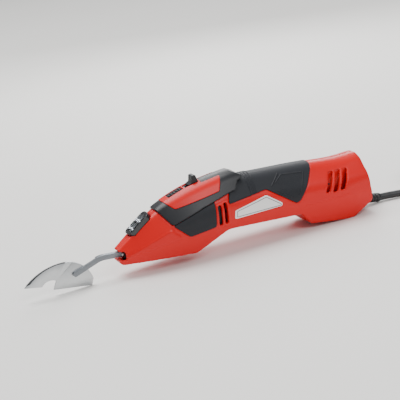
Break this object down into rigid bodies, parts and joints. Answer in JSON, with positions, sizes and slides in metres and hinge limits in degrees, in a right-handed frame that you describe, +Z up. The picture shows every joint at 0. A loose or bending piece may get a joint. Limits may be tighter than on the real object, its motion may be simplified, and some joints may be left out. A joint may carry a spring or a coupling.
{
  "type": "electric grout scraper",
  "caption": "Mains-powered hand-held scraper for grout and joints, with a straight grip, a rocking bent shank and a half-moon gritted blade.",
  "frame": {"origin": "under the middle of the tool's bounding box, on the surface that it lies on", "axes": "+X from the blade towards the tail, +Y towards the tool's right-hand side, +Z up"},
  "size_m": [0.5499, 0.08, 0.0782],
  "materials": {
    "red_shell": "satin moulded plastic",
    "black_cover": "fine satin moulded plastic",
    "grip_rubber": "fine textured soft rubber",
    "white_plate": "smooth printed foil",
    "clear_lens": "clear moulded lens",
    "circuit_board": "coated board",
    "blade_steel": "fine ground steel",
    "carbide_grit": "coarse brazed grit",
    "shank_steel": "drawn steel bar",
    "machined_steel": "turned steel",
    "cast_alloy": "as cast",
    "laminated_steel": "stacked laminations",
    "copper_winding": "enamelled wire",
    "copper_segments": "turned copper",
    "brass_parts": "drawn brass",
    "carbon": "pressed carbon",
    "inner_plastic": "moulded plastic",
    "lead_sheath": "smooth flexible sheath",
    "pin_metal": "nickel plated"
  },
  "bodies": {
    "root": {"air_baffle": "inner_plastic", "bearing_bridge": "cast_alloy", "brush_holders": "brass_parts", "brush_springs": "machined_steel", "carbon_brushes": "carbon", "clamp_screws": "machined_steel", "control_board": "circuit_board", "cord_clamp": "inner_plastic", "cord_sleeve": "lead_sheath", "field_coils": "copper_winding", "front_bearing_balls": "machined_steel", "front_bearing_outer": "machined_steel", "front_pad_left": "grip_rubber", "front_pad_right": "grip_rubber", "grip_pad": "grip_rubber", "hood": "black_cover", "hood_insert": "red_shell", "housing_left": "red_shell", "housing_right": "red_shell", "housing_screws": "machined_steel", "inner_lead": "lead_sheath", "lamp_bezel": "black_cover", "lamp_board": "circuit_board", "lamp_leads": "lead_sheath", "lamp_lenses": "clear_lens", "lead_hank": "lead_sheath", "lead_tail": "lead_sheath", "mains_lead": "lead_sheath", "marker_plate": "black_cover", "motor_leads": "lead_sheath", "name_plates": "white_plate", "nose_seal": "grip_rubber", "pivot_pin": "machined_steel", "plug_body": "lead_sheath", "plug_pins": "pin_metal", "power_switch": "inner_plastic", "rear_bearing_balls": "machined_steel", "rear_bearing_outer": "machined_steel", "rear_bearing_seat": "inner_plastic", "stator_core": "laminated_steel", "suppressor": "inner_plastic", "terminal_block": "inner_plastic"},
    "rotor": {"motor_shaft": "machined_steel", "armature_core": "laminated_steel", "armature_windings": "copper_winding", "commutator": "copper_segments", "fan": "inner_plastic", "eccentric_hub": "cast_alloy", "front_bearing_inner": "machined_steel", "rear_bearing_inner": "machined_steel"},
    "roller": {"eccentric_roller": "machined_steel"},
    "rocker": {"rocker_arm": "cast_alloy", "pivot_bush": "brass_parts", "tool_holder": "machined_steel", "holder_screw": "machined_steel", "shank": "shank_steel", "blade": "blade_steel", "blade_grit": "carbide_grit"},
    "switch": {"slide_knob": "black_cover", "slide_link": "inner_plastic"}
  },
  "joints": [
    {"name": "motor_spin", "type": "hinge", "parent": "root", "child": "rotor", "pos_m": [0.06503, 0, 0.04289], "axis": [0.9976, 0, -0.0686], "continuous": true},
    {"name": "roller_spin", "type": "hinge", "parent": "rotor", "child": "roller", "pos_m": [0.00323, 0, 0.04794], "axis": [0.9976, 0, -0.0686], "continuous": true},
    {"name": "rocker_swing", "type": "hinge", "parent": "root", "child": "rocker", "pos_m": [-0.04631, 0, 0.02719], "axis": [0, 1, 0], "range_deg": [-0.95, 0.95]},
    {"name": "switch_slide", "type": "slide", "parent": "root", "child": "switch", "axis": [-0.9846, 0, -0.1747], "range_m": [0, 0.0045]}
  ]
}
